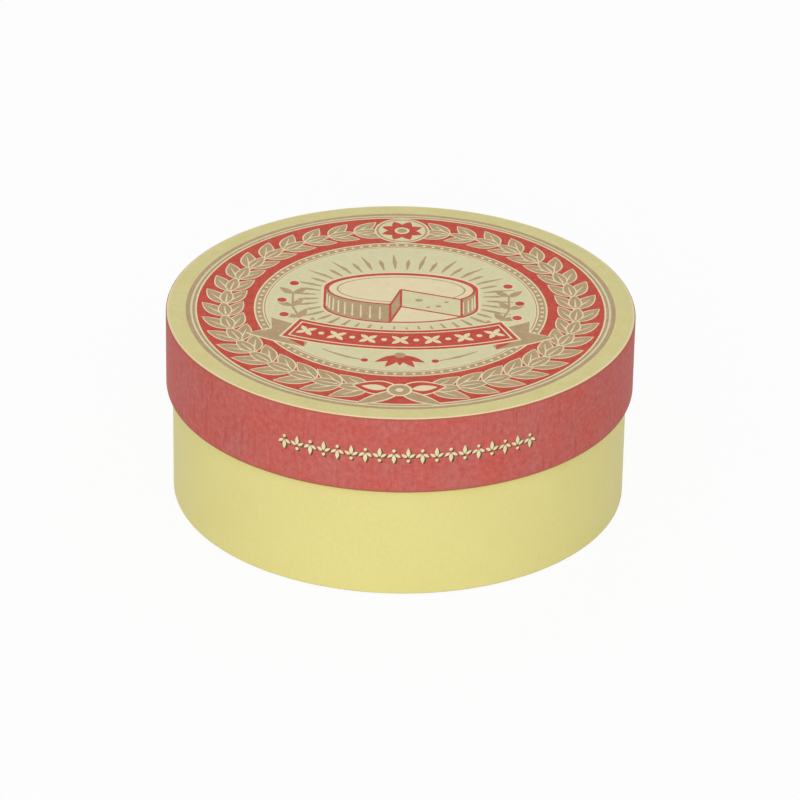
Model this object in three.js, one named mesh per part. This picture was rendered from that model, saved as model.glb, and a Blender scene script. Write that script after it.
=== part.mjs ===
// Camembert baker: a lidded stoneware dish in a round, paper-covered board box with a slip-on lid.
// Millimetres, +Z up. The box stands on z = 0 and everything is turned about the Z axis.
import * as THREE from 'three'

// The cheese that the dish is made for
const cheeseRadius = 55
const cheeseHeight = 34
const cheeseSideRoom = 5
const cheeseHeadRoom = 2

// Dish
const dishWall = 5.5
const dishFloor = 5
const dishDraft = 2
const dishCornerRadius = 6
const footRingHeight = 1.5
const footRingWidth = 5
const footRingInset = 3
const seatWidth = 2.5
const seatDepth = 4
const dishRimRound = 1

// Lid of the dish
const bakerLidClearance = 0.7
const bakerLidThickness = 4.5
const bakerLidDome = 2
const bakerLidShoulder = 1.4
const bakerLidEdgeRound = 1.2
const bakerLidHollow = 1.5
const bakerLidBearing = 7
const knobRadius = 12
const knobNeckRadius = 8.5
const knobNeckHeight = 2.6
const knobHeadHeight = 7
const knobFlare = 2.8
const knobCrown = 2

// Card collar (a hoop and a shelf on it) and corrugated pad that hold the dish in the box
const collarCard = 1
const collarShelf = 8.2
const collarWallClearance = 0.5
const collarHoleClearance = 1
const collarLip = 12
const collarDrop = 5
const padThickness = 3
const padRadius = 57

// Board and paper of the box
const board = 1.2
const paper = 0.2
const edgeRound = 0.4
const coverTurnIn = 10
const coverTurnUnder = 9
const footInset = 2
const lidClearance = 0.4
const lidDepth = 27
const labelTurnDown = 7
const bandReveal = 0.3
const bandTurnIn = 10
const knobClearance = 1

// Facets round each turned piece and along each small rounding
const roundSegments = 64
const cornerSteps = 2

// Levels and radii of the dish
const cavityRadius = cheeseRadius + cheeseSideRoom
const dishRadius = cavityRadius + dishWall
const dishFootRadius = dishRadius - dishDraft
const seatRadius = cavityRadius + seatWidth
const cavityFloorZ = footRingHeight + dishFloor
const seatZ = cavityFloorZ + cheeseHeight + cheeseHeadRoom
const dishRimZ = seatZ + seatDepth

// Levels and radii of the dish's lid, measured from the seat
const bakerLidRadius = seatRadius - bakerLidClearance
const bakerLidDomeZ = bakerLidThickness + bakerLidDome
const knobHeadZ = bakerLidDomeZ + knobNeckHeight
const knobTopZ = knobHeadZ + knobHeadHeight

// Levels and radii of the base
const boardBottomZ = paper + paper
const floorTopZ = boardBottomZ + board
const floorLinedZ = floorTopZ + paper
const padTopZ = floorLinedZ + padThickness
const baseBore = dishRadius + collarShelf + collarWallClearance
const wallInner = baseBore + paper
const wallOuter = wallInner + board
const baseRadius = wallOuter + paper
const rimZ = padTopZ + seatZ + knobTopZ + knobClearance
const wallTopZ = rimZ - paper
const turnInZ = rimZ - coverTurnIn
const turnUnderRadius = baseRadius - coverTurnUnder
const collarOuter = baseBore - collarWallClearance
const shelfHole = dishRadius + collarHoleClearance
const shelfZ = padTopZ + dishRimZ - collarDrop
const shelfUnderZ = shelfZ - collarCard

// Levels and radii of the lid, measured from the rim that it rests on
const lidBore = baseRadius + lidClearance
const hoopInner = lidBore + paper
const hoopOuter = hoopInner + board
const labelRadius = hoopOuter + paper
const lidRadius = labelRadius + paper
const topBoardZ = paper + board
const lidTopZ = topBoardZ + paper
const lidBottomZ = lidTopZ - lidDepth
const hoopBottomZ = lidBottomZ + paper
const labelEdgeZ = lidTopZ - labelTurnDown
const bandTopZ = lidTopZ - bandReveal
const bandTurnInZ = lidBottomZ + bandTurnIn

const greyBoard = new THREE.MeshStandardMaterial({ color: 0x9b958a, roughness: 0.95, metalness: 0 })
const yellowPaper = new THREE.MeshStandardMaterial({ color: 0xe6db90, roughness: 0.6, metalness: 0 })
const footPaper = new THREE.MeshStandardMaterial({ color: 0xe9e4d2, roughness: 0.8, metalness: 0 })
const liningPaper = new THREE.MeshStandardMaterial({ color: 0xf0ecdf, roughness: 0.8, metalness: 0 })
const labelPaper = new THREE.MeshStandardMaterial({ color: 0xd6cf9a, roughness: 0.65, metalness: 0 })
const redPaper = new THREE.MeshStandardMaterial({ color: 0xc4645a, roughness: 0.7, metalness: 0 })
const insertCard = new THREE.MeshStandardMaterial({ color: 0xece7da, roughness: 0.85, metalness: 0 })
const corrugated = new THREE.MeshStandardMaterial({ color: 0xb08a5c, roughness: 0.95, metalness: 0 })
const glaze = new THREE.MeshStandardMaterial({ color: 0xefe8d6, roughness: 0.2, metalness: 0 })

// Points along a small rounding about (r, z), from one angle to another in degrees
function rounding(r, z, radius, fromDeg, toDeg) {
  const points = []
  for (let i = 0; i <= cornerSteps; i++) {
    const angle = THREE.MathUtils.degToRad(fromDeg + ((toDeg - fromDeg) * i) / cornerSteps)
    points.push([r + radius * Math.cos(angle), z + radius * Math.sin(angle)])
  }
  return points
}

// A piece turned from its half section. The section runs with the material on its left;
// one that does not start on the axis is closed back to its first point.
function turned(name, material, section) {
  const points = section.map(([r, z]) => new THREE.Vector2(r, z))
  if (points[0].x > 0) {
    points.push(points[0].clone())
  }
  const geometry = new THREE.LatheGeometry(points, roundSegments)
  geometry.rotateX(Math.PI / 2)
  const mesh = new THREE.Mesh(geometry, material)
  mesh.name = name
  return mesh
}

function disc(name, material, radius, z0, z1) {
  return turned(name, material, [
    [0, z0],
    [radius, z0],
    [radius, z1],
    [0, z1],
  ])
}

function strip(name, material, inner, outer, z0, z1) {
  return turned(name, material, [
    [inner, z0],
    [outer, z0],
    [outer, z1],
    [inner, z1],
  ])
}

// Wall hoop of the base, with the edges that the paper turns over slightly crushed
function baseWallBoard() {
  const e = edgeRound
  return turned('base_wall_board', greyBoard, [
    [wallInner, boardBottomZ],
    ...rounding(wallOuter - e, boardBottomZ + e, e, -90, 0),
    ...rounding(wallOuter - e, wallTopZ - e, e, 0, 90),
    ...rounding(wallInner + e, wallTopZ - e, e, 90, 180),
  ])
}

// Yellow paper: under the foot, up the wall, over the rim and down inside
function baseCoverPaper() {
  const e = edgeRound
  const o = edgeRound + paper
  return turned('base_cover_paper', yellowPaper, [
    [turnUnderRadius, paper],
    ...rounding(wallOuter - e, boardBottomZ + e, o, -90, 0),
    ...rounding(wallOuter - e, wallTopZ - e, o, 0, 90),
    ...rounding(wallInner + e, wallTopZ - e, o, 90, 180),
    [baseBore, turnInZ],
    [wallInner, turnInZ],
    ...rounding(wallInner + e, wallTopZ - e, e, 180, 90),
    ...rounding(wallOuter - e, wallTopZ - e, e, 90, 0),
    ...rounding(wallOuter - e, boardBottomZ + e, e, 0, -90),
    [turnUnderRadius, boardBottomZ],
  ])
}

// Foot disc: laps the turned-under edge and is pressed up against the floor inside it
function baseFootPaper() {
  const footRadius = baseRadius - footInset
  return turned('base_foot_paper', footPaper, [
    [0, 0],
    [footRadius, 0],
    [footRadius, paper],
    [turnUnderRadius, paper],
    [turnUnderRadius, boardBottomZ],
    [0, boardBottomZ],
  ])
}

// Shelf of the card collar: a ring on the hoop, folded down to a lip round the dish
function insertShelf() {
  const lipOuter = shelfHole + collarCard
  const lipBottomZ = shelfZ - collarLip
  return turned('insert_shelf', insertCard, [
    [lipOuter, shelfUnderZ],
    [collarOuter, shelfUnderZ],
    [collarOuter, shelfZ],
    ...rounding(shelfHole + collarCard, shelfZ - collarCard, collarCard, 90, 180),
    [shelfHole, lipBottomZ],
    [lipOuter, lipBottomZ],
  ])
}

// Rim hoop of the lid
function lidRimBoard() {
  const e = edgeRound
  return turned('lid_rim_board', greyBoard, [
    ...rounding(hoopInner + e, hoopBottomZ + e, e, 180, 270),
    ...rounding(hoopOuter - e, hoopBottomZ + e, e, -90, 0),
    ...rounding(hoopOuter - e, topBoardZ - e, e, 0, 90),
    [hoopInner, topBoardZ],
  ])
}

// Label: flat over the top board and turned down over the edge
function lidLabelPaper() {
  const e = edgeRound
  const o = edgeRound + paper
  return turned('lid_label_paper', labelPaper, [
    [0, topBoardZ],
    ...rounding(hoopOuter - e, topBoardZ - e, e, 90, 0),
    [hoopOuter, labelEdgeZ],
    [labelRadius, labelEdgeZ],
    ...rounding(hoopOuter - e, topBoardZ - e, o, 0, 90),
    [0, lidTopZ],
  ])
}

// Red band: over the label's turned edge, down the rim, under it and up inside
function lidBandPaper() {
  const e = edgeRound
  const o = edgeRound + paper
  return turned('lid_band_paper', redPaper, [
    [lidBore, bandTurnInZ],
    ...rounding(hoopInner + e, hoopBottomZ + e, o, 180, 270),
    ...rounding(lidRadius - o, hoopBottomZ + e, o, -90, 0),
    [lidRadius, bandTopZ],
    [labelRadius, bandTopZ],
    [labelRadius, labelEdgeZ],
    [hoopOuter, labelEdgeZ],
    ...rounding(hoopOuter - e, hoopBottomZ + e, e, 0, -90),
    ...rounding(hoopInner + e, hoopBottomZ + e, e, 270, 180),
    [hoopInner, bandTurnInZ],
  ])
}

function bakerDish() {
  const c = dishCornerRadius
  const footInner = dishFootRadius - footRingInset - footRingWidth
  const footOuter = dishFootRadius - footRingInset
  return turned('baker_dish', glaze, [
    [0, footRingHeight],
    [footInner, footRingHeight],
    [footInner, 0],
    [footOuter, 0],
    [dishFootRadius, footRingInset],
    ...rounding(dishRadius - dishRimRound, dishRimZ - dishRimRound, dishRimRound, 0, 90),
    ...rounding(seatRadius + dishRimRound, dishRimZ - dishRimRound, dishRimRound, 90, 180),
    [seatRadius, seatZ],
    [cavityRadius, seatZ],
    ...rounding(cavityRadius - c, cavityFloorZ + c, c, 0, -90),
    [0, cavityFloorZ],
  ])
}

// Lid of the dish: a shallow dome with a knob, hollowed a little underneath
function bakerLid() {
  const edge = bakerLidEdgeRound
  const bearingInner = bakerLidRadius - bakerLidBearing
  return turned('baker_lid', glaze, [
    [0, bakerLidHollow],
    [bearingInner - bakerLidHollow, bakerLidHollow],
    [bearingInner, 0],
    [bakerLidRadius, 0],
    ...rounding(bakerLidRadius - edge, bakerLidThickness - edge, edge, 0, 90),
    [(bakerLidRadius + knobNeckRadius) / 2, bakerLidThickness + bakerLidShoulder],
    [knobNeckRadius, bakerLidDomeZ],
    [knobNeckRadius, knobHeadZ],
    [knobRadius, knobHeadZ + knobFlare],
    ...rounding(knobRadius - knobCrown, knobTopZ - knobCrown, knobCrown, 0, 90),
    [0, knobTopZ],
  ])
}

const boxBase = new THREE.Group()
boxBase.name = 'box_base'
boxBase.add(
  baseWallBoard(),
  disc('base_floor_board', greyBoard, wallInner, boardBottomZ, floorTopZ),
  baseCoverPaper(),
  baseFootPaper(),
  strip('base_wall_lining', liningPaper, baseBore, wallInner, floorLinedZ, turnInZ),
  disc('base_floor_lining', liningPaper, wallInner, floorTopZ, floorLinedZ),
  strip('insert_hoop', insertCard, collarOuter - collarCard, collarOuter, floorLinedZ, shelfUnderZ),
  insertShelf(),
  disc('dish_pad', corrugated, padRadius, floorLinedZ, padTopZ),
)

// The dish stands on the pad and its lid on the seat inside the dish's rim
const baker = new THREE.Group()
baker.name = 'baker'
baker.position.z = padTopZ
const dishLid = bakerLid()
dishLid.position.z = seatZ
baker.add(bakerDish(), dishLid)

// The lid's top rests on the rim of the base
const boxLid = new THREE.Group()
boxLid.name = 'box_lid'
boxLid.position.z = rimZ
boxLid.add(
  lidRimBoard(),
  disc('lid_top_board', greyBoard, hoopInner, paper, topBoardZ),
  lidLabelPaper(),
  lidBandPaper(),
  strip('lid_rim_lining', liningPaper, lidBore, hoopInner, bandTurnInZ, 0),
  disc('lid_top_lining', liningPaper, hoopInner, 0, paper),
)

const part = new THREE.Group()
part.name = 'camembert_baker'
part.add(boxBase, baker, boxLid)

export default part
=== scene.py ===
import math
from collections import namedtuple

import bmesh
import bpy
from mathutils import Matrix, Vector
from mathutils.geometry import delaunay_2d_cdt


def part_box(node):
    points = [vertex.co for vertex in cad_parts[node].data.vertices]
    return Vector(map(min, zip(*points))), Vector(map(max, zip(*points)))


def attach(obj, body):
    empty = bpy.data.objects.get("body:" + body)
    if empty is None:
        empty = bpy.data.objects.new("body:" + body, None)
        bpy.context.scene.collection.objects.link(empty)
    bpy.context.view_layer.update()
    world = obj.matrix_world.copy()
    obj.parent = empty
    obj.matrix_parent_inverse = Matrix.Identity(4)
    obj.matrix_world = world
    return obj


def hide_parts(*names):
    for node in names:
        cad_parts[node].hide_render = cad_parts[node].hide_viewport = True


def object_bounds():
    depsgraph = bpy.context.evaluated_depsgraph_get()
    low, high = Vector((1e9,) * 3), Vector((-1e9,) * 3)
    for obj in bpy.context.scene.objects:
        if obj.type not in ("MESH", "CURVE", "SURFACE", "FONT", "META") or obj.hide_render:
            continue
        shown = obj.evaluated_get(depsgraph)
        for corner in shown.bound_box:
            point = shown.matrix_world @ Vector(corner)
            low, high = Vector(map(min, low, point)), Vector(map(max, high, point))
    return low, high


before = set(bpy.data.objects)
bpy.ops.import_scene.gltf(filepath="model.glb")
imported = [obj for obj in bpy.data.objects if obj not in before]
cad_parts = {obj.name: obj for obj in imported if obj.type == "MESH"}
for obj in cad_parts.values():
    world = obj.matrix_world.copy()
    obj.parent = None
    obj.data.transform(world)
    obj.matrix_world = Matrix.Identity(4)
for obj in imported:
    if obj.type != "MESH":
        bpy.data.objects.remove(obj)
cadLow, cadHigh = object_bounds()
scene = bpy.context.scene
mm = 0.001
board, paper, fold = 1.2 * mm, 0.2 * mm, 0.4 * mm  # thicknesses, and the radius of a fold
weldGap = 1e-7
columnGap, rowGap = 200, 180  # between nodes in the node editor
Reach = namedtuple("Reach", "r z0 z1")
print("frame loaded:", len(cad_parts), "nodes")


# radius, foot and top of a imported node, so that the looks follow its size
def reach(node):
    low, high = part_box(node)
    return Reach(high.x, low.z, high.z)


def pick(look, names):
    return [look[name] for name in names.split()]


# links a wire to a socket, or sets the socket's own value
def plug(socket, value):
    if isinstance(value, Wire):
        value.tree.links.new(value.socket, socket)
    elif socket.type == "RGBA":
        socket.default_value = (*value, 1)
    else:
        socket.default_value = value


# settings are the node's properties or its inputs, with _ for a space in an input's name
def addNode(tree, kind, **settings):
    node = tree.nodes.new(kind)
    for key, value in settings.items():
        if key in node.bl_rna.properties:
            setattr(node, key, value)
        else:
            plug(node.inputs[key.replace("_", " ")], value)
    return node


def addWire(tree, kind, give=0, **settings):
    return Wire(addNode(tree, kind, **settings).outputs[give])


# one output of a node; the signs and words below put nodes behind it
class Wire:
    def __init__(self, socket):
        self.socket = socket
        self.tree = socket.id_data

    def then(self, operation, other=0.0, clamp=False):
        node = addNode(self.tree, "ShaderNodeMath", operation=operation, use_clamp=clamp)
        plug(node.inputs[0], self)
        plug(node.inputs[1], other)
        return Wire(node.outputs[0])

    def __add__(self, other):
        return self.then("ADD", other)

    def __sub__(self, other):
        return self.then("SUBTRACT", other)

    def __mul__(self, other):
        return self.then("MULTIPLY", other)

    def __truediv__(self, other):
        return self.then("DIVIDE", other)

    def spread(self, low, high, toLow=0.0, toHigh=1.0):  # low..high becomes toLow..toHigh
        return addWire(self.tree, "ShaderNodeMapRange", Value=self, From_Min=low, From_Max=high,
                       To_Min=toLow, To_Max=toHigh)

    def parts(self):
        node = addNode(self.tree, "ShaderNodeSeparateXYZ", Vector=self)
        return [Wire(socket) for socket in node.outputs]


def vector(tree, x=0.0, y=0.0, z=0.0):
    return addWire(tree, "ShaderNodeCombineXYZ", X=x, Y=y, Z=z)


def noise(tree, at, size, detail, roughness=0.5, distortion=0.0):
    return addWire(tree, "ShaderNodeTexNoise", Vector=at, Scale=size, Detail=detail, Roughness=roughness,
                   Distortion=distortion)


def mixColour(tree, share, a, b, blend="MIX"):
    node = addNode(tree, "ShaderNodeMix", data_type="RGBA", blend_type=blend)
    for key, value in ((0, share), (6, a), (7, b)):  # factor, colour A and colour B
        plug(node.inputs[key], value)
    return Wire(node.outputs[2])


# opens a node group; a word names an input's kind, a number is its start value
def openGroup(name, kind, takes, gives):
    tree = bpy.data.node_groups.new(name, kind)
    for key, given in takes.items():
        word = given if isinstance(given, str) else type(given).__name__.capitalize()
        socket = tree.interface.new_socket(key, in_out="INPUT", socket_type="NodeSocket" + word)
        if word != given:
            socket.default_value = given
    for key, word in gives.items():
        tree.interface.new_socket(key, in_out="OUTPUT", socket_type="NodeSocket" + word)
    return tree, {socket.name: Wire(socket) for socket in addNode(tree, "NodeGroupInput").outputs}


# lays the nodes out in columns, by their longest way to the end
def arrange(tree):
    column = dict.fromkeys(tree.nodes.keys(), 0)
    for _ in tree.nodes:
        for link in tree.links:
            start, stop = link.from_node.name, link.to_node.name
            column[start] = max(column[start], column[stop] + 1)
    rows = {}
    for name, place in column.items():
        rows[place] = rows.get(place, 0) + 1
        tree.nodes[name].location = (-columnGap * place, -rowGap * rows[place])


def closeGroup(tree, **gives):
    addNode(tree, "NodeGroupOutput", **gives)
    arrange(tree)
    return tree


# geometry trees start and end alike: a mesh goes in, real copies with their finish come out
def openTree(name, **takes):
    takes = {key.replace("_", " "): given for key, given in takes.items()}
    takes = {"Geometry": "Geometry", **takes, "Material": "Material"}
    tree, take = openGroup(name, "GeometryNodeTree", takes, {"Mesh": "Geometry"})
    tree.is_modifier = True
    return tree, take


def closeTree(tree, take, shape):
    whole = addWire(tree, "GeometryNodeRealizeInstances", Geometry=shape)
    painted = addWire(tree, "GeometryNodeSetMaterial", Geometry=whole, Material=take["Material"])
    return closeGroup(tree, Mesh=painted)


def joinWires(tree, wires):
    node = addNode(tree, "GeometryNodeJoinGeometry")
    for wire in wires:
        plug(node.inputs[0], wire)
    return Wire(node.outputs[0])


# turns a half section about Z, with a little wobble as hand-wrapped paper and thrown clay have
def makeTurnTree():
    tree, take = openTree("turnSection", Segments=192, Wobble=0.0, Wobble_Scale=30.0, Seed=0.0)
    count = addWire(tree, "GeometryNodeAttributeDomainSize", "Point Count", component="MESH",
                    Geometry=take["Geometry"])
    grid = addWire(tree, "GeometryNodeMeshGrid", Vertices_X=take["Segments"] + 1.0, Vertices_Y=count)
    index = addWire(tree, "GeometryNodeInputIndex")
    point = addWire(tree, "GeometryNodeSampleIndex", data_type="FLOAT_VECTOR", Geometry=take["Geometry"],
                    Value=addWire(tree, "GeometryNodeInputPosition"), Index=index.then("MODULO", count))
    radius, _, height = point.parts()
    turn = (index / count).then("FLOOR") / take["Segments"] * math.tau
    cosine, sine = turn.then("COSINE"), turn.then("SINE")
    cloud = addWire(tree, "ShaderNodeTexNoise", noise_dimensions="4D", Scale=take["Wobble Scale"],
                    Detail=1.0, W=take["Seed"], Vector=vector(tree, radius * cosine, radius * sine, height))
    offAxis = radius.then("GREATER_THAN", 1e-6)  # points on the axis stay there
    wide = radius + (cloud - 0.5) * take["Wobble"] * offAxis
    shape = addWire(tree, "GeometryNodeSetPosition", Geometry=grid,
                    Position=vector(tree, wide * cosine, wide * sine, height))
    shape = addWire(tree, "GeometryNodeMergeByDistance", Geometry=shape, Distance=weldGap)
    return closeTree(tree, take, shape)


turnTree = makeTurnTree()


def addObject(name, data):
    made = bpy.data.objects.new(name, data)
    scene.collection.objects.link(made)
    return made


# runs a geometry tree on a throwaway line of points and keeps the plain mesh
# values are the tree's inputs, named as a node's are
def bakeTree(tree, points=((0, 0, 0),), **values):
    mesh = bpy.data.meshes.new(tree.name)
    mesh.from_pydata(points, [(i, i + 1) for i in range(len(points) - 1)], [])
    tool = addObject("tool", mesh)
    work = tool.modifiers.new("work", "NODES")
    work.node_group = tree
    for socket in tree.interface.items_tree:
        key = socket.name.replace(" ", "_")
        if socket.in_out == "INPUT" and key in values:
            work[socket.identifier] = values[key]
    graph = bpy.context.evaluated_depsgraph_get()
    made = bpy.data.meshes.new_from_object(tool.evaluated_get(graph))
    tool.modifiers.remove(work)
    bpy.data.objects.remove(tool)
    bpy.data.meshes.remove(mesh)
    made.materials.clear()
    made.materials.append(values["Material"])
    made.polygons.foreach_set("material_index", [0] * len(made.polygons))
    return made


def turnMesh(section, material, **turn):
    if section[0][0] > 0:  # a ring's section closes on itself
        section = section + section[:1]
    return bakeTree(turnTree, [(r, 0, z) for r, z in section], Material=material, **turn)


def meshOf(bm, *materials):
    mesh = bpy.data.meshes.new("shape")
    bm.to_mesh(mesh)
    bm.free()
    for material in materials:
        mesh.materials.append(material)
    return mesh


# joins meshes into one, welded where they meet
def mergeMeshes(meshes, *materials, gap=weldGap):
    bm = bmesh.new()
    for mesh in meshes:
        bm.from_mesh(mesh)
        bpy.data.meshes.remove(mesh)
    bmesh.ops.remove_doubles(bm, verts=bm.verts, dist=gap)
    return meshOf(bm, *materials)


# welds, turns faces outwards and smooths all but the folds
def cleanMesh(mesh, foldAngle=40):
    bm = bmesh.new()
    bm.from_mesh(mesh)
    bmesh.ops.remove_doubles(bm, verts=bm.verts, dist=weldGap)
    bmesh.ops.dissolve_degenerate(bm, dist=weldGap / 10, edges=bm.edges)
    bmesh.ops.recalc_face_normals(bm, faces=bm.faces)
    bm.to_mesh(mesh)
    bm.free()
    mesh.polygons.foreach_set("use_smooth", [True] * len(mesh.polygons))
    mesh.set_sharp_from_angle(angle=math.radians(foldAngle))
    mesh.update()
    return mesh


# closed slab of two layers; spotAt gives the place of a layer's column and row
def slabMesh(spotAt, columns, rows, *materials):
    bm = bmesh.new()
    inner, outer = [[[bm.verts.new(spotAt(layer, i, j)) for j in range(rows + 1)]
                     for i in range(columns + 1)] for layer in (0, 1)]
    for i in range(columns):
        for j in range(rows):
            bm.faces.new((outer[i][j], outer[i + 1][j], outer[i + 1][j + 1], outer[i][j + 1]))
            bm.faces.new((inner[i][j], inner[i][j + 1], inner[i + 1][j + 1], inner[i + 1][j]))
        bm.faces.new((inner[i][0], inner[i + 1][0], outer[i + 1][0], outer[i][0]))
        bm.faces.new((inner[i][rows], outer[i][rows], outer[i + 1][rows], inner[i + 1][rows]))
    for j in range(rows):
        bm.faces.new((inner[0][j], outer[0][j], outer[0][j + 1], inner[0][j + 1]))
        bm.faces.new((inner[-1][j], inner[-1][j + 1], outer[-1][j + 1], outer[-1][j]))
    return meshOf(bm, *materials)


def addPiece(name, mesh, body, slot, *stands):
    piece = addObject(name, mesh)
    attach(piece, body)
    if stands:
        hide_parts(*stands)


def addTurned(name, section, material, body, slot, node, foldAngle=40, **turn):
    addPiece(name, cleanMesh(turnMesh(section, material, **turn), foldAngle), body, slot, node)


def polar(radius, angle, x=0.0, y=0.0):
    return (x + radius * math.cos(angle), y + radius * math.sin(angle))


# points along an arc about (x, y), degrees
def arc(x, y, radius, start, stop, steps=7):
    return [polar(radius, math.radians(start + (stop - start) * i / steps), x, y) for i in range(steps + 1)]


# points between two spots, so that long walls keep short faces
def run(a, b, steps):
    return [tuple(p + (q - p) * i / steps for p, q in zip(a, b)) for i in range(1, steps)]


def stripSection(outer, z0, z1, thick=paper, rows=8):
    inner = outer - thick
    return ([(inner, z0), (outer, z0)] + run((outer, z0), (outer, z1), rows)
            + [(outer, z1), (inner, z1)] + run((inner, z1), (inner, z0), rows))


def discSection(radius, z0, z1):
    return [(0, z0), (radius, z0)] + [(radius * share, z1) for share in (1.0, 0.66, 0.33, 0.0)]


# shader groups that several finishes share
def makeWrapGroup():  # object coordinates unrolled: x along the wall, y up
    tree, take = openGroup("unrollWall", "ShaderNodeTree", {"Vector": "Vector", "Radius": 0.07},
                           {"Vector": "Vector", "Height": "Float", "Reach": "Float"})
    x, y, z = take["Vector"].parts()
    along = x.then("ARCTAN2", y * -1.0) * take["Radius"]
    out = addWire(tree, "ShaderNodeVectorMath", "Value", operation="LENGTH", Vector=vector(tree, x, y))
    return closeGroup(tree, Vector=vector(tree, along, z), Height=z, Reach=out)


def makeFibreGroup():  # paper formation: cloud, fibre, pressed relief and grain
    tree, take = openGroup(
        "paperFibre", "ShaderNodeTree",
        {"Vector": "Vector", "Cloud Size": 220.0, "Fibre Size": 2600.0, "Stretch": 1.0, "Fine Grain": 0.2,
         "Broad Grain": 0.1},
        {"Cloud": "Float", "Fibre": "Float", "Height": "Float", "Grain": "Float"})
    broadShare, pressShare, pressDepth = 0.36, 0.6, 0.4  # against the fibre
    squeeze = addNode(tree, "ShaderNodeVectorMath", operation="MULTIPLY", Vector=take["Vector"])
    plug(squeeze.inputs[1], vector(tree, 1.0, take["Stretch"], 1.0))
    sheet, size = Wire(squeeze.outputs[0]), take["Fibre Size"]
    cloud = noise(tree, take["Vector"], take["Cloud Size"], detail=4.0, roughness=0.6)
    fibre = noise(tree, sheet, size, detail=5.0, roughness=0.7, distortion=0.6)
    broad = noise(tree, sheet, size * broadShare, detail=3.0, roughness=0.6)
    pressed = addWire(tree, "ShaderNodeTexVoronoi", "Distance", feature="SMOOTH_F1", Vector=sheet,
                      Scale=size * pressShare)
    grain = (fibre - 0.5) * take["Fine Grain"] + (broad - 0.5) * take["Broad Grain"] + 1.0
    return closeGroup(tree, Cloud=cloud, Fibre=fibre, Height=fibre + pressed * pressDepth, Grain=grain)


def makeRubGroup():  # wear, painted shade and painted highlight where a height or reach nears a level, broken up by noise
    tree, take = openGroup(
        "edgeWearShadeHighlight", "ShaderNodeTree",
        {"Vector": "Vector", "Along": 0.0, "Level": 0.0, "Width": 0.8 * mm, "Ragged": 1.0}, {"Mask": "Float"})
    tearSize, tearDepth, sharpness, farthest = 420.0, 2.0, 1.6, 2.0
    away = (take["Along"] - take["Level"]).then("ABSOLUTE") / take["Width"]
    cloud = noise(tree, take["Vector"], tearSize, detail=5.0, roughness=0.7)
    torn = (cloud - 0.5) * take["Ragged"] * tearDepth
    edgeMask = (torn - away + 1.0).then("MULTIPLY", sharpness, clamp=True)
    return closeGroup(tree, Mask=edgeMask * away.then("LESS_THAN", farthest))


wrapGroup, fibreGroup, wearShadeHighlightGroup = makeWrapGroup(), makeFibreGroup(), makeRubGroup()


def openMaterial(name, look, specular=0.25):
    material = bpy.data.materials.new(name)
    material.use_nodes = True
    tree = material.node_tree
    shader = tree.nodes["Principled BSDF"]
    middle = tuple((a + b) / 2 for a, b in zip(look["deep"], look["light"]))
    material.diffuse_color = (*middle, 1)
    plug(shader.inputs["Base Color"], middle)
    plug(shader.inputs["Roughness"], look["roughness"])
    plug(shader.inputs["Specular IOR Level"], specular)
    return material, tree, shader, addWire(tree, "ShaderNodeTexCoord", "Object")


# wires the finished colour and relief to the shader
def closeMaterial(tree, shader, tone, height, relief, depth):
    plug(shader.inputs["Base Color"], tone)
    bump = addWire(tree, "ShaderNodeBump", Strength=relief, Distance=depth, Height=height)
    plug(shader.inputs["Normal"], bump)
    arrange(tree)


def placeGroup(tree, group, **values):
    node = addNode(tree, "ShaderNodeGroup", node_tree=group, **values)
    return {socket.name: Wire(socket) for socket in node.outputs}


def rubMask(tree, place, along, level, width, ragged):
    rub = placeGroup(tree, wearShadeHighlightGroup, Vector=place, Along=along, Level=level, Width=width, Ragged=ragged)
    return rub["Mask"]


# edge marks from a finish's list: wear, and on the red band painted shade, on the label partly a painted
# highlight
def rubEdges(tree, tone, edges, place, wrap):
    for edge in edges:
        edgeMask = rubMask(tree, place, wrap[edge.get("by", "Height")], *pick(edge, "level width ragged"))
        tone = mixColour(tree, edgeMask * edge["share"], tone, edge["colour"])
    return tone


paperDepth = 0.12 * mm
cloudSpan, threadSpan, softSpan = (0.32, 0.68), (0.36, 0.64), (0.3, 0.7)  # where the noises mostly lie


# one paper recipe; each finish gives its own tones, grain and edge marks: wear on most, painted shade on the
# red band and partly a painted highlight on the label
def paperMaterial(name, look):
    material, tree, shader, place = openMaterial(name, look)
    wrap = {}
    if look["radius"] or look["edges"]:
        wrap = placeGroup(tree, wrapGroup, Vector=place, Radius=look["radius"])
    where = wrap["Vector"] if look["radius"] else place  # a finish with a radius is unrolled
    fine, broad = look["grain"]
    fibre = placeGroup(tree, fibreGroup, Vector=where, Cloud_Size=look["cloud"], Fibre_Size=look["fibre"],
                       Stretch=look["stretch"], Fine_Grain=fine, Broad_Grain=broad)
    tone = mixColour(tree, fibre["Cloud"].spread(*cloudSpan), look["deep"], look["light"])
    thread = fibre["Fibre"].spread(*threadSpan) * look["thread"]
    tone = mixColour(tree, thread, tone, look["threadColour"])
    grain = fibre["Grain"]
    if "grainTint" in look:  # bare fibre pales the weak channels most
        tinted = addNode(tree, "ShaderNodeCombineColor")
        for channel, power in zip(tinted.inputs, look["grainTint"]):
            plug(channel, grain.then("POWER", power))
        grain = Wire(tinted.outputs[0])
    tone = mixColour(tree, 1.0, tone, grain, "MULTIPLY")
    if "streak" in look:  # long fibres running up the sheet, in patches
        streak = look["streak"]
        long = placeGroup(tree, fibreGroup, Vector=where, Cloud_Size=streak["patch"],
                          Fibre_Size=streak["fibre"], Stretch=streak["stretch"])
        lines = long["Fibre"].spread(*streak["lineSpan"]) * long["Cloud"].spread(*streak["patchSpan"])
        tone = mixColour(tree, lines * streak["share"], tone, streak["colour"])
    tone = rubEdges(tree, tone, look["edges"], place, wrap)
    rough, change = look["roughness"], look["shineSpread"]
    plug(shader.inputs["Roughness"], fibre["Cloud"].spread(0.0, 1.0, rough - change, rough + change))
    closeMaterial(tree, shader, tone, fibre["Height"], look["relief"], paperDepth)
    return material


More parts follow.
